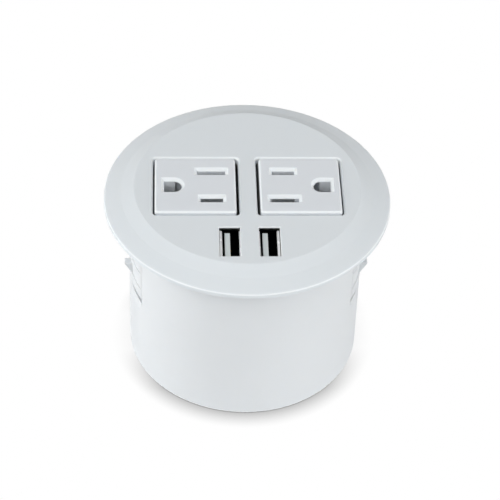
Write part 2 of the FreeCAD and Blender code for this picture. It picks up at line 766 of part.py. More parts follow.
def make_ground_bar():
    body = new_body("ground_bar")
    strip = new_sketch(body, "strip", "XY_Plane", f"{CARRIER_UNDER} - ground_tail - bar_thickness")
    reach = f"({OUTLET_X} + {GROUND_X} + bar_half_width)"
    draw_rectangle(strip, f"-{reach}", "-bar_half_width", reach, "bar_half_width")
    pad(body, strip, "bar_thickness")
    place(body, "0", "outlet_offset")


def make_usb_shell(name, side):
    """A folded tube with a rolled mouth, open at the top."""
    body = new_body(name)
    tube = new_sketch(body, "tube", "XY_Plane", BOARD_TOP)
    draw_centred(tube, "0", "0", "usb_shell_width", "usb_shell_length")
    pad(body, tube, "usb_shell_height")
    mouth = new_sketch(body, "mouth", "XY_Plane", f"{USB_MOUTH} - usb_lip_height")
    draw_centred(mouth, "0", "0", "(usb_shell_width + 2 * usb_lip)", "usb_shell_length")
    pad(body, mouth, "usb_lip_height")
    inside = new_sketch(body, "inside", "XY_Plane", USB_MOUTH)
    draw_centred(inside, "0", "0", "(usb_shell_width - 2 * usb_sheet)",
                 "(usb_shell_length - 2 * usb_sheet)")
    cut = pocket(body, inside)
    mouth_level = number(USB_MOUTH)
    half = number("usb_shell_width / 2 - usb_sheet")
    long_edges = edges_where(cut, lambda edge: lies_at(edge, mouth_level) and edge.BoundBox.XLength < TOUCH
                             and abs(abs(edge.BoundBox.XMin) - half) < TOUCH)
    bevel_edges(body, cut, long_edges, "usb_lip_bevel", "usb_lip")
    place(body, side + USB_X, USB_Y)


def make_usb_tongue(name, side):
    """The plastic base in the bottom of the shell and the tongue that stands on it."""
    body = new_body(name)
    base = new_sketch(body, "base", "XY_Plane", BOARD_TOP)
    draw_centred(base, "0", "0", "(usb_shell_width - 2 * usb_sheet)", "(usb_shell_length - 2 * usb_sheet)")
    pad(body, base, "usb_base_height")
    tongue = new_sketch(body, "tongue", "XY_Plane", BOARD_TOP)
    draw_centred(tongue, "-usb_tongue_offset", "0", "usb_tongue_thickness", "usb_tongue_length")
    pad(body, tongue, "usb_shell_height - usb_tongue_inset")
    place(body, side + USB_X, USB_Y)


def make_usb_pins(name, side):
    """Flat contact strips in a row on the wide side of the tongue."""
    strips = []
    for count in range(SIZES["usb_pin_count"]):
        strip = document.addObject("Part::Box", f"{name}_strip_{count + 1}")
        strip.setExpression("Length", cells("usb_pin_thickness"))
        strip.setExpression("Width", cells("usb_pin_width"))
        strip.setExpression("Height", cells("usb_pin_length"))
        strip.setExpression("Placement.Base.x", cells("usb_tongue_thickness / 2 - usb_tongue_offset"))
        strip.setExpression("Placement.Base.y", cells(
            f"({count} - (usb_pin_count - 1) / 2) * usb_pin_pitch - usb_pin_width / 2"))
        strip.setExpression("Placement.Base.z", cells(f"{BOARD_TOP} + usb_base_height"))
        strips.append(strip)
    group = document.addObject("Part::Compound", name)
    group.Label = name
    group.Links = strips
    pieces.append(group)
    place(group, side + USB_X, USB_Y)


def make_charger_board():
    body = new_body("charger_board")
    board = new_sketch(body, "board", "XY_Plane", BOARD_UNDER)
    draw_outline(board, [
        ("-board_half_width", "board_back"),
        ("-board_half_width", "-board_shoulder"),
        ("-board_nose_half_width", "-board_front"),
        ("board_nose_half_width", "-board_front"),
        ("board_half_width", "-board_shoulder"),
        ("board_half_width", "board_back"),
    ])
    pad(body, board, "board_thickness")
    holes = new_sketch(body, "board_holes", "XY_Plane", BOARD_TOP)
    for x, y in BOARD_SCREWS:
        draw_circle(holes, x, f"{y} - {USB_Y}", "board_screw_radius + screw_clearance")
    pocket(body, holes)
    place(body, "0", USB_Y)


def make_transformer():
    """A square ferrite frame with the wound coil on its middle limb."""
    core = new_body("transformer_core")
    frame = new_sketch(core, "frame", "XZ_Plane")
    under = f"({BOARD_UNDER} - core_height)"
    draw_rectangle(frame, "-core_width / 2", under, "core_width / 2", BOARD_UNDER)
    draw_rectangle(frame, "-core_width / 2 + core_limb", f"{under} + core_limb",
                   "core_width / 2 - core_limb", f"{BOARD_UNDER} - core_limb")
    pad(core, frame, "core_length - 2 * coil_bulge", both_ways=True)
    place(core, "core_x", f"{USB_Y} + core_y")

    coil = new_body("transformer_coil")
    winding = new_sketch(coil, "winding", "XZ_Plane")
    inset = "(core_limb + coil_clearance)"
    draw_rectangle(winding, f"-core_width / 2 + {inset}", f"{under} + {inset}",
                   f"core_width / 2 - {inset}", f"{BOARD_UNDER} - {inset}")
    base = pad(coil, winding, "core_length", both_ways=True)
    along = edges_where(base, lambda edge: edge.BoundBox.YLength > TOUCH)
    round_edges(coil, base, along, "coil_bulge / 2")
    place(coil, "core_x", f"{USB_Y} + core_y")


def make_capacitors(name, centres, radius, height):
    """Upright cans that hang from the board's underside."""
    cans = []
    for count, (x, y) in enumerate(centres, start=1):
        can = document.addObject("Part::Cylinder", f"{name}_can_{count}")
        can.setExpression("Radius", cells(radius))
        can.setExpression("Height", cells(height))
        can.setExpression("Placement.Base.x", cells(x))
        can.setExpression("Placement.Base.y", cells(f"{USB_Y} + {y}"))
        can.setExpression("Placement.Base.z", cells(f"{BOARD_UNDER} - {height}"))
        cans.append(can)
    group = document.addObject("Part::Compound", name)
    group.Label = name
    group.Links = cans
    pieces.append(group)


def make_screws(name, centres, head_top, shank, shank_radius, head_radius):
    """Pan-head screws that point up, in one group: head below, shank above."""
    screws = []
    for count, (x, y) in enumerate(centres, start=1):
        head = document.addObject("Part::Cylinder", f"{name}_head_{count}")
        head.setExpression("Radius", cells(head_radius))
        head.setExpression("Height", cells("screw_head_height"))
        head.setExpression("Placement.Base.z", cells(f"{head_top} - screw_head_height"))
        stem = document.addObject("Part::Cylinder", f"{name}_shank_{count}")
        stem.setExpression("Radius", cells(shank_radius))
        stem.setExpression("Height", cells(f"{shank} + screw_head_height / 2"))
        stem.setExpression("Placement.Base.z", cells(f"{head_top} - screw_head_height / 2"))
        for part in (head, stem):
            part.setExpression("Placement.Base.x", cells(x))
            part.setExpression("Placement.Base.y", cells(y))
        screw = document.addObject("Part::Fuse", f"{name}_{count}")
        screw.Base = head
        screw.Tool = stem
        screws.append(screw)
    group = document.addObject("Part::Compound", name)
    group.Label = name
    group.Links = screws
    pieces.append(group)


def make_cord_bushing():
    """The gland in the rear wall: a flanged sleeve with a rounded mouth."""
    body = new_body("cord_bushing")
    sleeve = new_sketch(body, "sleeve", "XZ_Plane", "-" + INLET_FLAT)
    draw_circle(sleeve, "0", "inlet_height", "bushing_radius")
    pad(body, sleeve, "inlet_wall + bushing_tail")
    flange = new_sketch(body, "bushing_flange", "XZ_Plane", "-" + INLET_FLAT)
    draw_circle(flange, "0", "inlet_height", "bushing_flange_radius")
    pad(body, flange, "bushing_flange", reverse=True)
    bore = new_sketch(body, "bushing_bore", "XZ_Plane")
    draw_circle(bore, "0", "inlet_height", "bushing_bore")
    cut = pocket(body, bore, "2 * body_radius")
    mouth = number(f"{INLET_FLAT} + bushing_flange")
    rims = edges_where(cut, lambda edge: abs(edge.BoundBox.YMin - mouth) < TOUCH)
    round_edges(body, cut, rims, "bushing_edge")


make_top_cover()
make_housing()
for side_name, sign, turned in (("left", "-", True), ("right", "", False)):
    make_outlet_face(f"outlet_face_{side_name}", sign, turned)
    make_contact_carrier(f"contact_carrier_{side_name}", sign, turned)
    blade_x = f"{sign}({OUTLET_X} - slot_inset)"
    hot_y = f"outlet_offset + {sign}blade_spacing / 2"
    neutral_y = f"outlet_offset - ({sign}blade_spacing / 2)"
    make_blade_contact(f"hot_contact_{side_name}", blade_x, hot_y, "hot_tail")
    make_blade_contact(f"neutral_contact_{side_name}", blade_x, neutral_y, "neutral_tail")
    make_ground_contact(f"ground_contact_{side_name}", f"{sign}({OUTLET_X} + {GROUND_X})")
    make_usb_shell(f"usb_shell_{side_name}", sign)
    make_usb_tongue(f"usb_tongue_{side_name}", sign)
    make_usb_pins(f"usb_pins_{side_name}", sign)
make_bar("hot_bar", "hot_tail", "")
make_bar("neutral_bar", "neutral_tail", "-")
make_ground_bar()
make_charger_board()
make_transformer()
make_capacitors("input_capacitor", [("input_x", "input_y")], "input_radius", "input_height")
make_capacitors("output_capacitors", [("output_x", "output_y"), ("output_x + output_spacing", "output_y")],
                "output_radius", "output_height")
make_screws("cover_screws", COVER_SCREWS, WELL_TOP, "tower_roof + cover_screw_bite - screw_clearance",
            "cover_screw_radius", "cover_screw_head")
make_screws("carrier_screws", CARRIER_SCREWS, CARRIER_EAR_UNDER,
            "carrier_ear_thickness + screw_bite - screw_clearance",
            "carrier_screw_radius", "carrier_screw_head")
make_screws("board_screws", BOARD_SCREWS, BOARD_UNDER, "board_thickness + screw_bite - screw_clearance",
            "board_screw_radius", "board_screw_head")
make_cord_bushing()

document.recompute()
for item in document.Objects:
    if "Invalid" in item.State or "Error" in item.State:
        raise RuntimeError(f"{item.Label} failed: {item.State}")
for piece in pieces:
    if piece.Shape.isNull() or not piece.Shape.isValid():
        raise RuntimeError(f"{piece.Label} has no valid shape")

os.makedirs("parts", exist_ok=True)
for piece in pieces:
    piece.Shape.exportStep(f"parts/{piece.Label}.step")
    print(f"{piece.Label}: {len(piece.Shape.Solids)} solid(s), {piece.Shape.Volume:.1f} mm3")
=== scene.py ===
import math

import bmesh
import bpy
from bpy.props import FloatProperty, FloatVectorProperty, PointerProperty
from mathutils import Matrix, Vector


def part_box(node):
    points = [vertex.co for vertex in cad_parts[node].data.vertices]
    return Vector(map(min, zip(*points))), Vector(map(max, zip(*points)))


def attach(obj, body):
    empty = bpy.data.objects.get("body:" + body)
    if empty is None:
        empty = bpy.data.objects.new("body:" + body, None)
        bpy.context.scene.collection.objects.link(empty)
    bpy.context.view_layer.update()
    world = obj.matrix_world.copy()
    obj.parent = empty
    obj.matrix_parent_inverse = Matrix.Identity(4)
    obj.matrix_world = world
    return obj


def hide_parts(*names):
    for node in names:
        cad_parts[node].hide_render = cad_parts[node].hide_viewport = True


bl_info = {
    "name": "In-desk power module",
    "version": (1, 0, 0),
    "blender": (4, 5, 0),
    "location": "View3D > Sidebar > Power module",
    "description": "Dresses the frame of a round in-desk power module",
    "category": "Add Mesh",
}

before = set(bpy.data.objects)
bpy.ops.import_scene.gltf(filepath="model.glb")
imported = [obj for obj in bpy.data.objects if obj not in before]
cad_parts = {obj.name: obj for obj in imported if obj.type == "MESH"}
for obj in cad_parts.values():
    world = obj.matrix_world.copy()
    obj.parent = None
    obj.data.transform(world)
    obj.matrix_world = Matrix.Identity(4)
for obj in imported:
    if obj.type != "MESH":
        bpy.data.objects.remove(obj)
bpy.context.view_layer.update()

MM = 0.001

# The values between which a noise pattern lies, apart from a few peaks.
NOISE_RANGE = (0.3, 0.7)
# Width of one band of the wave pattern at a scale of 1.
WAVE_BAND = 0.314

# How a pattern is drawn out into lines, along one way or not at all.
LINES_ALONG_X = (0.05, 1.0, 1.0)
LINES_ALONG_Z = (1.0, 1.0, 0.05)
NO_LINES = (1.0, 1.0, 1.0)

# White plastics: the share of the light that enters, and how far its red, green and blue go.
LIGHT_ENTERING = 0.6
LIGHT_SPREAD = (1.0, 0.95, 0.9)

# Ways that a face with a painted highlight leans, and the least and most that its normal points that way.
UP = 1.0
DOWN = -1.0
FLANGE_LEAN = (0.3, 0.72)
LOWER_EDGE_LEAN = (0.2, 0.9)
OUTLET_EDGE_LEAN = (0.35, 0.92)
# How far the painted highlight fades out below the least and above the most.
FADE_BELOW = 0.1
FADE_ABOVE = 0.04

# Port shells: how much the normals of walls point up at most, and those of level edges at least.
WALL_LEAN = 0.3
LEVEL_LEAN = 0.95
LIP_METALLIC = 0.25
# The sheet's thickness and a little more.
SHEET_EDGE_WIDTH = 0.35 * MM

FLOOR_REACH = 3.0
# Keeps the floor clear of the flat bottom that stands on it.
FLOOR_GAP = 0.02 * MM
# Distances in front of and behind the middle between which the painted contact shadow gains strength,
# and the share of it that is left out up to the first and from the second.
SHADOW_GAINS = (8 * MM, 26 * MM)
SHADOW_LEFT_OUT = (0.85, 0.1)
SENSOR_WIDTH = 36.0

# How finely the round forms of the screws are drawn, and the angle from which an edge is sharp.
SCREW_SIDES = 36
RINGS_PER_THREAD = 8
DOME_STEPS = 6
SHARP_ANGLE = math.radians(35)

# Screw heads, in shares of the head's height: its rounded rim, that rim's inset, its seat's edge.
HEAD_DOME = 0.55
DOME_INSET = 0.9
SEAT_EDGE = 0.06
# Threads, in pitches, and the share by which the shank narrows at its tip.
TAPER_PITCHES = 1.5
TIP_NARROWING = 0.25
# Recesses, in shares of the head's radius and height, and of their own mouth at their foot.
RECESS_REACH = 0.62
RECESS_DEEPEST = 0.7
RECESS_FOOT = 0.55
# The radius of the head for which the width of the recess is given.
RECESS_HEAD = 2.4 * MM
# How far the cutter stands above the head, and how much wider it is there.
CUTTER_RISE = 0.1 * MM
CUTTER_MARGIN = 1.05
# Corners this close are one corner, and corners this near in height lie on one level.
SAME_PLACE = 0.001 * MM
SAME_LEVEL = 0.01 * MM


def to_linear(code):
    """Turns an sRGB hex colour into the linear numbers that a shader takes."""
    values = [int(code[start:start + 2], 16) / 255 for start in (1, 3, 5)]
    return tuple(v / 12.92 if v <= 0.04045 else ((v + 0.055) / 1.055) ** 2.4 for v in values)


def colour_property(name, code, description):
    """A colour that the user can change, shown with a swatch."""
    return FloatVectorProperty(name=name, description=description, subtype="COLOR", size=3,
                               min=0.0, max=1.0, default=to_linear(code))


def length_property(name, millimetres, description):
    """A length that the user can change, kept in metres."""
    return FloatProperty(name=name, description=description, unit="LENGTH", subtype="DISTANCE",
                         min=0.0, precision=5, default=millimetres * MM)


class ColourSettings(bpy.types.PropertyGroup):
    """The colours of the finishes."""

    cover: colour_property("Cover", "#d7dcdf", "White ABS of the face and its flange")
    housing: colour_property("Housing", "#dcdfe1", "White ABS of the cup under the cover")
    outlet: colour_property("Outlet faces", "#d7dbdf", "White polycarbonate of the outlet faces")
    carrier: colour_property("Carriers", "#c6c8c0", "Natural nylon of the contact carriers")
    tongue: colour_property("Port tongues", "#cfd6d6", "Pale plastic of the tongues in the ports")
    shell: colour_property("Port shells", "#f2f3f4", "Nickel-plated steel of the port shells")
    # Painted shade: the near-black of the shells' inner walls and of the cut edges at their narrow ends
    # stands in for the shade that falls there.
    shell_painted_shade: colour_property("Port shells, inside", "#141516", "Where no plating reached")
    brass: colour_property("Contacts", "#d2ae66", "Rolled brass of the contacts and bars")
    gold: colour_property("Port contacts", "#dfbf72", "Plated strips on the port tongues")
    laminate: colour_property("Board", "#1f5a34", "Lacquer of the charger board")
    ferrite: colour_property("Core", "#38383b", "Sintered ferrite of the core")
    tape: colour_property("Coil tape", "#e0b83a", "Polyester tape round the coil")
    sleeve: colour_property("Capacitor sleeve", "#1d2436", "Shrunk sleeve of the capacitors")
    zinc: colour_property("Screws", "#b9bcbe", "Zinc-plated steel of the screws")
    bushing: colour_property("Bushing", "#d8dadb", "White nylon of the cord bushing")
    # Painted highlight: a lighter white on the cover's and the outlets' sloping edges stands in for the
    # light that they catch.
    polished: colour_property("Polished edges", "#e6eaec", "White plastic where the mould is polished")
    # Painted highlight: a lighter white on the housing's rounded lower edge stands in for the light that
    # it catches.
    lower_edge_highlight: colour_property("Lower edge", "#f4f6f7", "Polished plastic round the housing's bottom")


class SurfaceSettings(bpy.types.PropertyGroup):
    """The sizes that give each surface its touch."""

    mould_grain: length_property("Mould grain", 0.35, "Size of the fine grain that the mould leaves")
    grain_height: length_property("Grain height", 0.004, "Height of that grain")
    mould_edge: length_property("Mould edge", 0.3, "How far the mould's own edges are rounded")
    sheet_edge: length_property("Sheet edge", 0.08, "How far the edges of stamped sheet are rounded")
    rolling_line: length_property("Rolling line", 0.12, "Spacing of the rolling lines on stamped metal")
    line_height: length_property("Line height", 0.002, "Height of those lines")
    thread_pitch: length_property("Thread pitch", 0.9, "Distance from one thread of a screw to the next")
    thread_depth: length_property("Thread depth", 0.22, "How deep the screws' threads are cut")
    recess_width: length_property("Recess width", 0.75, "Width of each arm of the cross in a screw head")
    recess_depth: length_property("Recess depth", 1.0, "Depth of the cross in a screw head")
    wire: length_property("Coil wire", 0.5, "Spacing of the turns that show through the coil's tape")
    light_depth: length_property("Light depth", 1.0, "How far light wanders inside the white plastics")


class StageSettings(bpy.types.PropertyGroup):
    """The camera, the lamps and the floor."""

    elevation: FloatProperty(name="Elevation", description="How far the camera looks down",
                             subtype="ANGLE", default=math.radians(42.993))
    yaw: FloatProperty(name="Yaw", description="How far the camera stands to the side",
                       subtype="ANGLE", default=math.radians(-3.183))
    roll: FloatProperty(name="Roll", description="How far the camera leans",
                        subtype="ANGLE", default=math.radians(2.165))
    lens: FloatProperty(name="Lens", description="Focal length on a 36 mm sensor",
                        subtype="DISTANCE_CAMERA", default=151.423)
    place: FloatVectorProperty(name="Place", description="Where the camera stands", subtype="XYZ",
                               unit="LENGTH", default=(-0.025637, -0.487867, 0.491922))
    front_lamp: FloatProperty(name="Front lamp", description="Power of the lamp at the front left",
                              subtype="POWER", min=0.0, default=8.3)
    left_lamp: FloatProperty(name="Left lamp", description="Power of the low lamp at the left",
                             subtype="POWER", min=0.0, default=9.0)
    right_lamp: FloatProperty(name="Right lamp", description="Power of the low lamp at the front right",
                              subtype="POWER", min=0.0, default=9.4)
    side_lamp: FloatProperty(name="Side lamp", description="Power of the high lamp at the right",
                             subtype="POWER", min=0.0, default=2.6)
    top_lamp: FloatProperty(name="Top lamp", description="Power of the lamp overhead",
                            subtype="POWER", min=0.0, default=2.3)
    room: FloatProperty(name="Room light", description="Strength of the even light from all round",
                        min=0.0, default=0.0)
    floor: colour_property("Floor", "#f6f7f8", "Colour of the floor")
    # The contact shadow is painted on the floor: ambient occlusion darkens the white that the camera
    # sees.
    shadow_reach: length_property("Shadow reach", 6.5, "How far the contact shadow reaches")


class PowerModuleSettings(bpy.types.PropertyGroup):
    """Everything that the panel shows."""

    colours: PointerProperty(type=ColourSettings)
    surfaces: PointerProperty(type=SurfaceSettings)
    stage: PointerProperty(type=StageSettings)


def add_node(tree, kind, sockets=None, **settings):
    """Adds one node, gives it its settings, and fills or links its inputs."""
    node = tree.nodes.new(kind)
    for name, value in settings.items():
        setattr(node, name, value)
    for name, value in (sockets or {}).items():
        if isinstance(value, bpy.types.NodeSocket):
            tree.links.new(value, node.inputs[name])
        else:
            node.inputs[name].default_value = value
    return node


def new_material(name, colour, roughness, **shader_values):
    """A material with one shader, whose plain values are set on its own sockets."""
    material = bpy.data.materials.new(name)
    material.use_nodes = True
    material.diffuse_color = (*colour, 1.0)
    tree = material.node_tree
    tree.nodes.clear()
    shader = add_node(tree, "ShaderNodeBsdfPrincipled", {"Base Color": (*colour, 1.0),
                                                         "Roughness": roughness})
    for socket, value in shader_values.items():
        shader.inputs[socket.replace("_", " ")].default_value = value
    output = add_node(tree, "ShaderNodeOutputMaterial")
    tree.links.new(shader.outputs["BSDF"], output.inputs["Surface"])
    return material, tree, shader


def mottle(tree, shader, where, colour, rough, size, darker, spread):
    """Lets colour and roughness wander a little over a surface, in clouds of a size."""
    cloud = add_node(tree, "ShaderNodeTexNoise", {"Vector": where, "Scale": 1.0 / size, "Detail": 3.0})
    shade = tuple(value * darker for value in colour)
    tint = add_node(tree, "ShaderNodeMix", {"Factor": cloud.outputs["Fac"], "A": (*colour, 1.0),
                                            "B": (*shade, 1.0)}, data_type="RGBA")
    tree.links.new(tint.outputs["Result"], shader.inputs["Base Color"])
    least, most = NOISE_RANGE
    sheen = add_node(tree, "ShaderNodeMapRange", {"Value": cloud.outputs["Fac"], "From Min": least,
                                                  "From Max": most, "To Min": rough - spread,
                                                  "To Max": rough + spread})
    tree.links.new(sheen.outputs["Result"], shader.inputs["Roughness"])


def recolour(tree, shader, share, colour):
    """Blends another colour over a shader's own, by a share that differs from place to place."""
    own = shader.inputs["Base Color"].links[0].from_socket
    blend = add_node(tree, "ShaderNodeMix", {"Factor": share, "A": own, "B": (*colour, 1.0)},
                     data_type="RGBA")
    tree.links.new(blend.outputs["Result"], shader.inputs["Base Color"])


def paint_edge_highlights(material, colour, way, limits):
    """Makes faces lighter that lean up or down between two limits: a painted highlight on those edges."""
    tree = material.node_tree
    least, most = limits
    normal = add_node(tree, "ShaderNodeNewGeometry").outputs["Normal"]
    upward = add_node(tree, "ShaderNodeSeparateXYZ", {"Vector": normal}).outputs["Z"]
    lean = add_node(tree, "ShaderNodeMath", {0: upward, 1: way}, operation="MULTIPLY").outputs["Value"]
    start = add_node(tree, "ShaderNodeMapRange", {"Value": lean, "From Min": least - FADE_BELOW,
                                                  "From Max": least})
    end = add_node(tree, "ShaderNodeMapRange", {"Value": lean, "From Min": most + FADE_ABOVE,
                                                "From Max": most})
    share = add_node(tree, "ShaderNodeMath", {0: start.outputs["Result"], 1: end.outputs["Result"]},
                     operation="MULTIPLY")
    recolour(tree, tree.nodes["Principled BSDF"], share.outputs["Value"], colour)


def moulded(name, colour, rough, edge, ior):
    """Injection-moulded plastic: even colour, a fine grain from the mould, and soft edges."""
    surfaces = bpy.context.scene.power_module.surfaces
    material, tree, shader = new_material(name, colour, rough, IOR=ior,
                                          Subsurface_Weight=LIGHT_ENTERING,
                                          Subsurface_Radius=LIGHT_SPREAD,
                                          Subsurface_Scale=surfaces.light_depth)
    where = add_node(tree, "ShaderNodeTexCoord").outputs["Object"]
    mottle(tree, shader, where, colour, rough, size=18 * MM, darker=0.985, spread=0.03)
    grain = add_node(tree, "ShaderNodeTexNoise", {"Vector": where, "Scale": 1.0 / surfaces.mould_grain,
                                                  "Detail": 2.0})
    soft = add_node(tree, "ShaderNodeBevel", {"Radius": edge}, samples=6)
    bump = add_node(tree, "ShaderNodeBump", {"Height": grain.outputs["Fac"],
                                             "Normal": soft.outputs["Normal"],
                                             "Distance": surfaces.grain_height, "Strength": 1.0})
    tree.links.new(bump.outputs["Normal"], shader.inputs["Normal"])
    return material


def stamped(name, colour, rough, lines_way):
    """Rolled and stamped metal: fine rolling lines along one way, and edges dulled by the die."""
    surfaces = bpy.context.scene.power_module.surfaces
    material, tree, shader = new_material(name, colour, rough, Metallic=1.0)
    where = add_node(tree, "ShaderNodeTexCoord").outputs["Object"]
    stretch = add_node(tree, "ShaderNodeMapping", {"Vector": where, "Scale": lines_way})
    lines = add_node(tree, "ShaderNodeTexNoise", {"Vector": stretch.outputs["Vector"],
                                                  "Scale": 1.0 / surfaces.rolling_line, "Detail": 2.0})
    mottle(tree, shader, where, colour, rough, size=3 * MM, darker=0.92, spread=0.07)
    soft = add_node(tree, "ShaderNodeBevel", {"Radius": surfaces.sheet_edge}, samples=4)
    bump = add_node(tree, "ShaderNodeBump", {"Height": lines.outputs["Fac"],
                                             "Normal": soft.outputs["Normal"],
                                             "Distance": surfaces.line_height, "Strength": 1.0})
    tree.links.new(bump.outputs["Normal"], shader.inputs["Normal"])
    return material


def paint_shade_inside(material, middle, end, painted_shade):
    """Paints shade on an upright tube's inner walls, and on its top edges beyond a distance from its
    middle.
    """
    tree = material.node_tree
    shader = tree.nodes["Principled BSDF"]
    where = add_node(tree, "ShaderNodeTexCoord").outputs["Object"]
    normal = add_node(tree, "ShaderNodeNewGeometry").outputs["True Normal"]
    upward = add_node(tree, "ShaderNodeSeparateXYZ", {"Vector": normal}).outputs["Z"]
    # An inner wall is upright, and its normal points back to the middle.
    outward = add_node(tree, "ShaderNodeVectorMath", {0: where, 1: middle}, operation="SUBTRACT")
    level = add_node(tree, "ShaderNodeVectorMath", {0: outward.outputs["Vector"], 1: (1.0, 1.0, 0.0)},
                     operation="MULTIPLY")
    side = add_node(tree, "ShaderNodeVectorMath", {0: level.outputs["Vector"], 1: normal},
                    operation="DOT_PRODUCT")
    inward = add_node(tree, "ShaderNodeMath", {0: side.outputs["Value"], 1: 0.0},
                      operation="LESS_THAN")
    upright = add_node(tree, "ShaderNodeMath", {0: upward, 1: WALL_LEAN}, operation="LESS_THAN")
    inner = add_node(tree, "ShaderNodeMath", {0: inward.outputs["Value"], 1: upright.outputs["Value"]},
                     operation="MULTIPLY")
    # The cut edges of the sheet are level, and those that get the painted shade lie at the tube's narrow
    # ends.
    along = add_node(tree, "ShaderNodeSeparateXYZ", {"Vector": outward.outputs["Vector"]}).outputs["Y"]
    reach = add_node(tree, "ShaderNodeMath", {0: along}, operation="ABSOLUTE")
    beyond = add_node(tree, "ShaderNodeMath", {0: reach.outputs["Value"], 1: end},
                      operation="GREATER_THAN")
    level_edge = add_node(tree, "ShaderNodeMath", {0: upward, 1: LEVEL_LEAN}, operation="GREATER_THAN")
    cut_edge = add_node(tree, "ShaderNodeMath", {0: beyond.outputs["Value"],
                                                 1: level_edge.outputs["Value"]}, operation="MULTIPLY")
    share = add_node(tree, "ShaderNodeMath", {0: inner.outputs["Value"], 1: cut_edge.outputs["Value"]},
                     operation="MAXIMUM")
    recolour(tree, shader, share.outputs["Value"], painted_shade)
    # The lips round the mouth are dull and scatter light, so they are less metallic than the rest.
    wall = add_node(tree, "ShaderNodeMath", {0: upright.outputs["Value"], 1: cut_edge.outputs["Value"]},
                    operation="MAXIMUM")
    metal = add_node(tree, "ShaderNodeMapRange", {"Value": wall.outputs["Value"],
                                                  "To Min": LIP_METALLIC, "To Max": 1.0})
    tree.links.new(metal.outputs["Result"], shader.inputs["Metallic"])


def finish_nodes(material, names):
    """Gives the CAD nodes their material."""
    for name in names:
        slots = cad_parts[name].material_slots
        if not slots:
            raise RuntimeError(f"{name} has no material slot")
        for slot in slots:
            slot.material = material


def both_sides(*names):
    """The left and the right node of each name."""
    return [f"{name}_{side}" for name in names for side in ("left", "right")]


def solids_of(node):
    """The corner points of each separate solid in a CAD node."""
    form = bmesh.new()
    form.from_mesh(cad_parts[node].data)
    bmesh.ops.remove_doubles(form, verts=form.verts, dist=SAME_PLACE)
    found = set()
    solids = []
    for start in form.verts:
        if start in found:
            continue
        found.add(start)
        reached = [start]
        solid = []
        while reached:
            corner = reached.pop()
            solid.append(corner.co.copy())
            for edge in corner.link_edges:
                other = edge.other_vert(corner)
                if other not in found:
                    found.add(other)
                    reached.append(other)
        solids.append(solid)
    form.free()
    return solids


def skin_rings(form, rings):
    """Joins rings with equal numbers of points into a closed skin with a flat cap at each end."""
    rows = [[form.verts.new(point) for point in ring] for ring in rings]
    count = len(rows[0])
    for low, high in zip(rows, rows[1:]):
        for index in range(count):
            following = (index + 1) % count
            form.faces.new((low[index], low[following], high[following], high[index]))
    form.faces.new(list(reversed(rows[0])))
    form.faces.new(rows[-1])


def ring_at(centre, radius, height, count):
    """A level ring of points; the radius may be a function of the turn."""
    points = []
    for index in range(count):
        turn = 2 * math.pi * index / count
        reach = radius(turn) if callable(radius) else radius
        points.append(Vector((centre[0] + reach * math.cos(turn), centre[1] + reach * math.sin(turn),
                              height)))
    return points


def new_piece(name, form, material, node):
    """Turns a finished form into an object that stands for a CAD node."""
    bmesh.ops.recalc_face_normals(form, faces=form.faces)
    for face in form.faces:
        face.smooth = True
    for edge in form.edges:
        if len(edge.link_faces) == 2 and edge.calc_face_angle() > SHARP_ANGLE:
            edge.smooth = False
    mesh = bpy.data.meshes.new(name)
    form.to_mesh(mesh)
    form.free()
    piece = bpy.data.objects.new(name, mesh)
    bpy.context.scene.collection.objects.link(piece)
    mesh.materials.append(material)
    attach(piece, "root")
    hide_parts(node)
    return piece


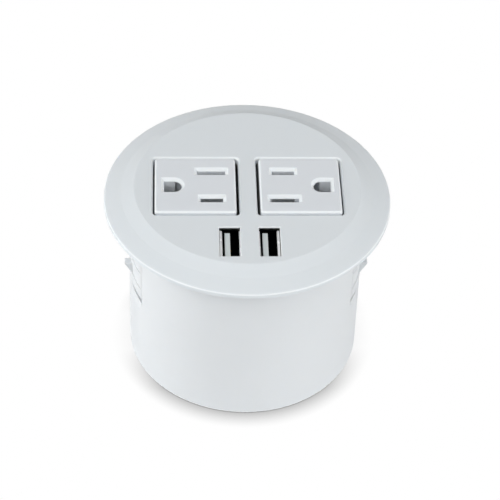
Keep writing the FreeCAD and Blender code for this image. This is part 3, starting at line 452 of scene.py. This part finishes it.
class POWERMODULE_OT_stage(bpy.types.Operator):
    """Stands the camera, the lamps and the white floor round the module."""

    bl_idname = "power_module.stage"
    bl_label = "Stage"

    def execute(self, context):
        stage = context.scene.power_module.stage
        context.scene.view_settings.view_transform = "Standard"
        self.add_camera(context.scene, stage)
        self.add_floor(context.scene, stage)
        aim = Vector((0.0, 0.0, 40 * MM))
        # name, turn from the front towards the right, height above the floor, distance, width, power
        lamps = [
            ("lamp_front", -35.0, 45.0, 1.3, 0.9, stage.front_lamp),
            ("lamp_left", -95.0, 20.0, 1.2, 0.8, stage.left_lamp),
            ("lamp_right", 60.0, 25.0, 1.3, 0.9, stage.right_lamp),
            ("lamp_side", 90.0, 50.0, 1.2, 0.9, stage.side_lamp),
            ("lamp_top", 0.0, 88.0, 1.3, 0.9, stage.top_lamp),
        ]
        for name, turn, height, distance, width, power in lamps:
            self.add_lamp(context.scene, aim, name, turn, height, distance, width, power)
        self.light_room(context.scene, stage)
        return {"FINISHED"}

    def add_camera(self, scene, stage):
        """Stands the camera in its place and turns it by its three angles."""
        back = Vector((math.sin(stage.yaw) * math.cos(stage.elevation),
                       -math.cos(stage.yaw) * math.cos(stage.elevation), math.sin(stage.elevation)))
        right = Vector((0.0, 0.0, 1.0)).cross(back).normalized()
        turned = Matrix((right, back.cross(right), back)).transposed()
        camera = bpy.data.objects.new("camera", bpy.data.cameras.new("camera"))
        camera.matrix_world = (Matrix.Translation(stage.place) @ turned.to_4x4()
                               @ Matrix.Rotation(stage.roll, 4, "Z"))
        camera.data.sensor_width = SENSOR_WIDTH
        camera.data.lens = stage.lens
        camera.data.clip_start = 0.01
        scene.collection.objects.link(camera)
        scene.camera = camera

    def add_floor(self, scene, stage):
        """A wide floor that the camera sees as white paper, with a painted contact shadow close to the
        module.
        """
        mesh = bpy.data.meshes.new("floor")
        corners = [(x * FLOOR_REACH, y * FLOOR_REACH, 0.0)
                   for x, y in ((-1, -1), (1, -1), (1, 1), (-1, 1))]
        mesh.from_pydata(corners, [], [(0, 1, 2, 3)])
        floor = bpy.data.objects.new("floor", mesh)
        floor.location.z = -FLOOR_GAP
        scene.collection.objects.link(floor)
        # Matt paper: plain and pale, with hardly any gloss.
        material, tree, shader = new_material("paper_matt", stage.floor, 0.9)
        seen = add_node(tree, "ShaderNodeLightPath").outputs["Is Camera Ray"]
        # Painted contact shadow: ambient occlusion near the module darkens the white that the camera sees
        # on the floor.
        painted_contact_shadow = add_node(tree, "ShaderNodeAmbientOcclusion", {"Distance": stage.shadow_reach}, samples=16)
        # The painted contact shadow is mostly left out at the left and the right, by how far a place lies
        # in front of or behind the middle.
        where = add_node(tree, "ShaderNodeNewGeometry").outputs["Position"]
        along = add_node(tree, "ShaderNodeSeparateXYZ", {"Vector": where}).outputs["Y"]
        reach = add_node(tree, "ShaderNodeMath", {0: along}, operation="ABSOLUTE")
        light = add_node(tree, "ShaderNodeMapRange", {"Value": reach.outputs["Value"],
                                                      "From Min": SHADOW_GAINS[0],
                                                      "From Max": SHADOW_GAINS[1],
                                                      "To Min": SHADOW_LEFT_OUT[0],
                                                      "To Max": SHADOW_LEFT_OUT[1]})
        soft = add_node(tree, "ShaderNodeMix", {"Factor": light.outputs["Result"],
                                                "A": painted_contact_shadow.outputs["Color"],
                                                "B": (1.0, 1.0, 1.0, 1.0)}, data_type="RGBA")
        white = add_node(tree, "ShaderNodeEmission", {"Color": soft.outputs["Result"], "Strength": 1.0})
        paper = add_node(tree, "ShaderNodeMixShader", {"Fac": seen, 1: shader.outputs["BSDF"],
                                                       2: white.outputs["Emission"]})
        tree.links.new(paper.outputs["Shader"], tree.nodes["Material Output"].inputs["Surface"])
        mesh.materials.append(material)

    def add_lamp(self, scene, aim, name, turn, height, distance, width, power):
        """A large soft lamp that points at the module."""
        turn, height = math.radians(turn), math.radians(height)
        way = Vector((math.sin(turn) * math.cos(height), -math.cos(turn) * math.cos(height),
                      math.sin(height)))
        light = bpy.data.lights.new(name, "AREA")
        light.shape = "SQUARE"
        light.size = width
        light.energy = power
        lamp = bpy.data.objects.new(name, light)
        lamp.location = aim + way * distance
        lamp.rotation_euler = way.to_track_quat("Z", "Y").to_euler()
        # A pale face seen at a low angle would mirror the lamp and clip to white.
        lamp.visible_glossy = False
        scene.collection.objects.link(lamp)

    def light_room(self, scene, stage):
        """White for the camera, for what mirrors and for what is clear, and even light for the rest."""
        world = bpy.data.worlds.new("white_room")
        world.use_nodes = True
        scene.world = world
        tree = world.node_tree
        tree.nodes.clear()
        path = add_node(tree, "ShaderNodeLightPath")
        seen = add_node(tree, "ShaderNodeMath", {0: path.outputs["Is Camera Ray"],
                                                 1: path.outputs["Is Glossy Ray"]}, operation="MAXIMUM")
        seen = add_node(tree, "ShaderNodeMath", {0: seen.outputs["Value"],
                                                 1: path.outputs["Is Transmission Ray"]},
                        operation="MAXIMUM")
        strength = add_node(tree, "ShaderNodeMapRange", {"Value": seen.outputs["Value"],
                                                         "To Min": stage.room, "To Max": 1.0})
        background = add_node(tree, "ShaderNodeBackground", {"Color": (1.0, 1.0, 1.0, 1.0),
                                                             "Strength": strength.outputs["Result"]})
        output = add_node(tree, "ShaderNodeOutputWorld")
        tree.links.new(background.outputs["Background"], output.inputs["Surface"])


class POWERMODULE_OT_cover(bpy.types.Operator):
    """Finishes the face with its flange."""

    bl_idname = "power_module.cover"
    bl_label = "Cover"

    def execute(self, context):
        settings = context.scene.power_module
        # Moulded ABS: cool white, satin, soft where the slopes of the flange meet.
        cover = moulded("abs_moulded_cover", settings.colours.cover, rough=0.42, ior=1.54,
                        edge=settings.surfaces.mould_edge)
        # Painted highlight on the flange's sloping rim.
        paint_edge_highlights(cover, settings.colours.polished, UP, FLANGE_LEAN)
        finish_nodes(cover, ["top_cover"])
        return {"FINISHED"}


class POWERMODULE_OT_housing(bpy.types.Operator):
    """Finishes the cup with its snap tongues, and the bushing in its rear wall."""

    bl_idname = "power_module.housing"
    bl_label = "Housing"

    def execute(self, context):
        settings = context.scene.power_module
        # Moulded ABS: the same white, with a duller, plainer mould surface.
        cup = moulded("abs_moulded_housing", settings.colours.housing, rough=0.5, ior=1.54,
                      edge=settings.surfaces.mould_edge)
        # Painted highlight on the rounded lower edge, which faces down.
        paint_edge_highlights(cup, settings.colours.lower_edge_highlight, DOWN, LOWER_EDGE_LEAN)
        finish_nodes(cup, ["housing"])
        # Moulded nylon: slightly waxy and a little greyer.
        bushing = moulded("nylon_moulded_bushing", settings.colours.bushing, rough=0.4, ior=1.53,
                          edge=settings.surfaces.mould_edge)
        finish_nodes(bushing, ["cord_bushing"])
        return {"FINISHED"}


class POWERMODULE_OT_outlets(bpy.types.Operator):
    """Finishes the outlet faces and the carriers under them."""

    bl_idname = "power_module.outlets"
    bl_label = "Outlets"

    def execute(self, context):
        settings = context.scene.power_module
        # Moulded polycarbonate: a touch smoother than the cover round it.
        face = moulded("polycarbonate_moulded_face", settings.colours.outlet, rough=0.38, ior=1.585,
                       edge=settings.surfaces.mould_edge / 2)
        # Painted highlight on the outlet faces' rounded edges.
        paint_edge_highlights(face, settings.colours.polished, UP, OUTLET_EDGE_LEAN)
        finish_nodes(face, both_sides("outlet_face"))
        # Moulded natural nylon: milky, slightly green-grey.
        carrier = moulded("nylon_moulded_carrier", settings.colours.carrier, rough=0.45, ior=1.53,
                          edge=settings.surfaces.mould_edge)
        finish_nodes(carrier, both_sides("contact_carrier"))
        return {"FINISHED"}


class POWERMODULE_OT_contacts(bpy.types.Operator):
    """Finishes the brass contacts and the bars that join them."""

    bl_idname = "power_module.contacts"
    bl_label = "Contacts"

    def execute(self, context):
        colours = context.scene.power_module.colours
        # Rolled brass, stamped: warm yellow, with rolling lines along the strip.
        brass = stamped("brass_rolled_stamped", colours.brass, 0.3, LINES_ALONG_X)
        finish_nodes(brass, both_sides("hot_contact", "neutral_contact", "ground_contact"))
        finish_nodes(brass, ["hot_bar", "neutral_bar", "ground_bar"])
        return {"FINISHED"}


class POWERMODULE_OT_ports(bpy.types.Operator):
    """Finishes the shells, tongues and strips of the two charging ports."""

    bl_idname = "power_module.ports"
    bl_label = "Charging ports"

    def execute(self, context):
        settings = context.scene.power_module
        for side in ("left", "right"):
            # Nickel-plated steel, folded: bright, with lines along the fold, and painted shade that makes
            # it nearly black inside.
            shell = stamped(f"nickel_plated_steel_folded_{side}", settings.colours.shell, 0.24,
                            LINES_ALONG_Z)
            low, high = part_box(f"usb_shell_{side}")
            middle = tuple((low[way] + high[way]) / 2 for way in range(3))
            end = (high[1] - low[1]) / 2 - SHEET_EDGE_WIDTH
            paint_shade_inside(shell, middle, end, settings.colours.shell_painted_shade)
            finish_nodes(shell, [f"usb_shell_{side}"])
        # Glass-filled nylon, moulded: pale, dull, with crisp edges.
        tongue = moulded("glass_filled_nylon_moulded", settings.colours.tongue, rough=0.5, ior=1.53,
                         edge=settings.surfaces.sheet_edge)
        finish_nodes(tongue, both_sides("usb_tongue"))
        # Gold-plated strip: smooth and warm.
        strip = stamped("gold_plated_strip", settings.colours.gold, 0.22, LINES_ALONG_Z)
        finish_nodes(strip, both_sides("usb_pins"))
        return {"FINISHED"}


class POWERMODULE_OT_charger(bpy.types.Operator):
    """Finishes the charger's board and the parts that hang from it."""

    bl_idname = "power_module.charger"
    bl_label = "Charger"

    def execute(self, context):
        settings = context.scene.power_module
        colours = settings.colours
        # Glass-epoxy laminate under lacquer: glossy green, with the glass weave faint below.
        weave_size, weave_height = 0.6 * MM, 0.01 * MM
        laminate, tree, shader = new_material("glass_epoxy_lacquered", colours.laminate, 0.25,
                                              IOR=1.55, Coat_Weight=0.4)
        where = add_node(tree, "ShaderNodeTexCoord").outputs["Object"]
        weave = add_node(tree, "ShaderNodeTexVoronoi", {"Vector": where, "Scale": 1.0 / weave_size},
                         distance="CHEBYCHEV")
        bump = add_node(tree, "ShaderNodeBump", {"Height": weave.outputs["Distance"],
                                                 "Distance": weave_height})
        tree.links.new(bump.outputs["Normal"], shader.inputs["Normal"])
        finish_nodes(laminate, ["charger_board"])
        # Sintered ferrite, ground: nearly black, dull, with pinholes.
        pore_size, pore_depth = 0.3 * MM, 0.02 * MM
        core, tree, shader = new_material("ferrite_sintered_ground", colours.ferrite, 0.55, IOR=2.3)
        where = add_node(tree, "ShaderNodeTexCoord").outputs["Object"]
        pores = add_node(tree, "ShaderNodeTexNoise", {"Vector": where, "Scale": 1.0 / pore_size,
                                                      "Detail": 5.0})
        bump = add_node(tree, "ShaderNodeBump", {"Height": pores.outputs["Fac"], "Distance": pore_depth})
        tree.links.new(bump.outputs["Normal"], shader.inputs["Normal"])
        finish_nodes(core, ["transformer_core"])
        # Polyester tape wound over enamelled wire: glossy yellow, ribbed by the turns beneath.
        rib_height = 0.05 * MM
        tape, tree, shader = new_material("polyester_tape_wound", colours.tape, 0.28, IOR=1.57)
        where = add_node(tree, "ShaderNodeTexCoord").outputs["Object"]
        turns = add_node(tree, "ShaderNodeTexWave", {"Vector": where,
                                                     "Scale": WAVE_BAND / settings.surfaces.wire},
                         bands_direction="Y")
        bump = add_node(tree, "ShaderNodeBump", {"Height": turns.outputs["Fac"], "Distance": rib_height})
        tree.links.new(bump.outputs["Normal"], shader.inputs["Normal"])
        finish_nodes(tape, ["transformer_coil"])
        # Polyester sleeve shrunk on a can: dark blue, glossy, with a soft orange-peel surface.
        peel_size, peel_height = 1.2 * MM, 0.02 * MM
        sleeve, tree, shader = new_material("polyester_sleeve_shrunk", colours.sleeve, 0.22, IOR=1.57)
        where = add_node(tree, "ShaderNodeTexCoord").outputs["Object"]
        peel = add_node(tree, "ShaderNodeTexNoise", {"Vector": where, "Scale": 1.0 / peel_size})
        bump = add_node(tree, "ShaderNodeBump", {"Height": peel.outputs["Fac"], "Distance": peel_height})
        tree.links.new(bump.outputs["Normal"], shader.inputs["Normal"])
        finish_nodes(sleeve, ["input_capacitor", "output_capacitors"])
        return {"FINISHED"}


class POWERMODULE_OT_screws(bpy.types.Operator):
    """Makes the screws of the cover, the carriers and the board, with threads and cross recesses."""

    bl_idname = "power_module.screws"
    bl_label = "Screws"

    def execute(self, context):
        settings = context.scene.power_module
        # Zinc-plated steel, cold-headed: cool grey, slightly cloudy.
        zinc = stamped("zinc_plated_steel_headed", settings.colours.zinc, 0.34, NO_LINES)
        for node in ("cover_screws", "carrier_screws", "board_screws"):
            form = bmesh.new()
            for corners in solids_of(node):
                screw = self.make_screw(corners, settings.surfaces)
                form.from_mesh(screw)
                bpy.data.meshes.remove(screw)
            new_piece(f"{node}_threaded", form, zinc, node)
        return {"FINISHED"}

    def make_screw(self, corners, surfaces):
        """One screw that points up, in the space of its plain CAD solid."""
        low = min(corner.z for corner in corners)
        high = max(corner.z for corner in corners)
        centre = [(min(corner[way] for corner in corners) + max(corner[way] for corner in corners)) / 2
                  for way in (0, 1)]
        head_radius = max(corner.x for corner in corners) - centre[0]
        tip = [corner for corner in corners if corner.z > high - SAME_LEVEL]
        shank_radius = max(corner.x for corner in tip) - centre[0]
        # The head's seat is the highest place where the solid is nearly as wide as the head.
        wide = 0.98 * head_radius
        seat = max(corner.z for corner in corners
                   if math.hypot(corner.x - centre[0], corner.y - centre[1]) > wide)
        rings = self.head_rings(centre, head_radius, low, seat)
        rings += self.thread_rings(centre, shank_radius, seat, high, surfaces)
        form = bmesh.new()
        skin_rings(form, rings)
        bmesh.ops.recalc_face_normals(form, faces=form.faces)
        return self.cut_recess(form, centre, low, seat, head_radius, surfaces)

    def head_rings(self, centre, radius, low, seat):
        """A pan head: flat on top, round at its rim, flat on its seat."""
        height = seat - low
        dome = HEAD_DOME * height
        edge = SEAT_EDGE * height
        rings = []
        for step in range(DOME_STEPS + 1):
            lean = math.radians(90) * step / DOME_STEPS
            rings.append(ring_at(centre, radius - dome * (1 - math.sin(lean)) * DOME_INSET,
                                 low + dome * (1 - math.cos(lean)), SCREW_SIDES))
        rings.append(ring_at(centre, radius, seat - edge, SCREW_SIDES))
        rings.append(ring_at(centre, radius - edge, seat, SCREW_SIDES))
        return rings

    def thread_rings(self, centre, radius, seat, high, surfaces):
        """A shank whose rings swell and sink along a screw line, and that narrows at its tip."""
        pitch, depth = surfaces.thread_pitch, surfaces.thread_depth
        count = round((high - seat) / pitch * RINGS_PER_THREAD)
        rings = []
        for step in range(count + 1):
            height = seat + (high - seat) * step / count
            taper = min(1.0, (high - height) / (TAPER_PITCHES * pitch))
            run_out = min(1.0, (height - seat) / pitch)
            core = (radius - depth) * (1.0 - TIP_NARROWING + TIP_NARROWING * taper)

            def reach(turn):
                # The crest rises and falls over half of each pitch, and the rest is plain shank.
                phase = (height / pitch - turn / (2 * math.pi)) % 1.0
                crest = max(0.0, 1.0 - abs(phase - 0.5) * 4.0)
                return core + depth * crest * taper * run_out

            rings.append(ring_at(centre, reach, height, SCREW_SIDES))
        return rings

    def cut_recess(self, form, centre, low, seat, head_radius, surfaces):
        """Cuts the cross for the driver into the top of the head."""
        mesh = bpy.data.meshes.new("screw")
        form.to_mesh(mesh)
        form.free()
        cross = bmesh.new()
        reach = RECESS_REACH * head_radius
        half = surfaces.recess_width / 2 * head_radius / RECESS_HEAD
        depth = min(surfaces.recess_depth, RECESS_DEEPEST * (seat - low))
        mouth = [(-reach, -half), (reach, -half), (reach, half), (-reach, half)]
        for turn in (0.0, math.radians(90)):
            arm = Matrix.Translation((centre[0], centre[1], low)) @ Matrix.Rotation(turn, 4, "Z")
            rings = []
            # An arm shortens towards its foot twice as fast as it narrows.
            for share, height in ((CUTTER_MARGIN, -CUTTER_RISE), (1.0, 0.0), (RECESS_FOOT, depth)):
                rings.append([arm @ Vector((x * share, y * (0.5 + share / 2), height)) for x, y in mouth])
            skin_rings(cross, rings)
        bmesh.ops.recalc_face_normals(cross, faces=cross.faces)
        cutter_mesh = bpy.data.meshes.new("cross")
        cross.to_mesh(cutter_mesh)
        cross.free()
        screw = bpy.data.objects.new("screw", mesh)
        cutter = bpy.data.objects.new("cross", cutter_mesh)
        for item in (screw, cutter):
            bpy.context.scene.collection.objects.link(item)
        cut = screw.modifiers.new("recess", "BOOLEAN")
        cut.operation = "DIFFERENCE"
        cut.solver = "EXACT"
        cut.use_self = True
        cut.object = cutter
        scene_state = bpy.context.evaluated_depsgraph_get()
        finished = bpy.data.meshes.new_from_object(screw.evaluated_get(scene_state))
        for item in (screw, cutter):
            bpy.data.objects.remove(item)
        for spare in (mesh, cutter_mesh):
            bpy.data.meshes.remove(spare)
        return finished


OPERATORS = [
    POWERMODULE_OT_stage,
    POWERMODULE_OT_cover,
    POWERMODULE_OT_housing,
    POWERMODULE_OT_outlets,
    POWERMODULE_OT_contacts,
    POWERMODULE_OT_ports,
    POWERMODULE_OT_charger,
    POWERMODULE_OT_screws,
]


class POWERMODULE_PT_sidebar(bpy.types.Panel):
    """Lists the settings and the operators."""

    bl_idname = "POWERMODULE_PT_sidebar"
    bl_label = "In-desk power module"
    bl_space_type = "VIEW_3D"
    bl_region_type = "UI"
    bl_category = "Power module"

    def draw(self, context):
        settings = context.scene.power_module
        for title, group in (("Colours", settings.colours), ("Surfaces", settings.surfaces),
                             ("Stage", settings.stage)):
            box = self.layout.box()
            box.label(text=title)
            for name in group.__annotations__:
                box.prop(group, name)
        for operator in OPERATORS:
            self.layout.operator(operator.bl_idname)


CLASSES = [ColourSettings, SurfaceSettings, StageSettings, PowerModuleSettings,
           *OPERATORS, POWERMODULE_PT_sidebar]


def register():
    for item in CLASSES:
        bpy.utils.register_class(item)
    bpy.types.Scene.power_module = PointerProperty(type=PowerModuleSettings)


def unregister():
    del bpy.types.Scene.power_module
    for item in reversed(CLASSES):
        bpy.utils.unregister_class(item)


def main():
    register()
    bpy.ops.power_module.stage()
    bpy.ops.power_module.cover()
    bpy.ops.power_module.housing()
    bpy.ops.power_module.outlets()
    bpy.ops.power_module.contacts()
    bpy.ops.power_module.ports()
    bpy.ops.power_module.charger()
    bpy.ops.power_module.screws()


if __name__ == "__main__":
    main()
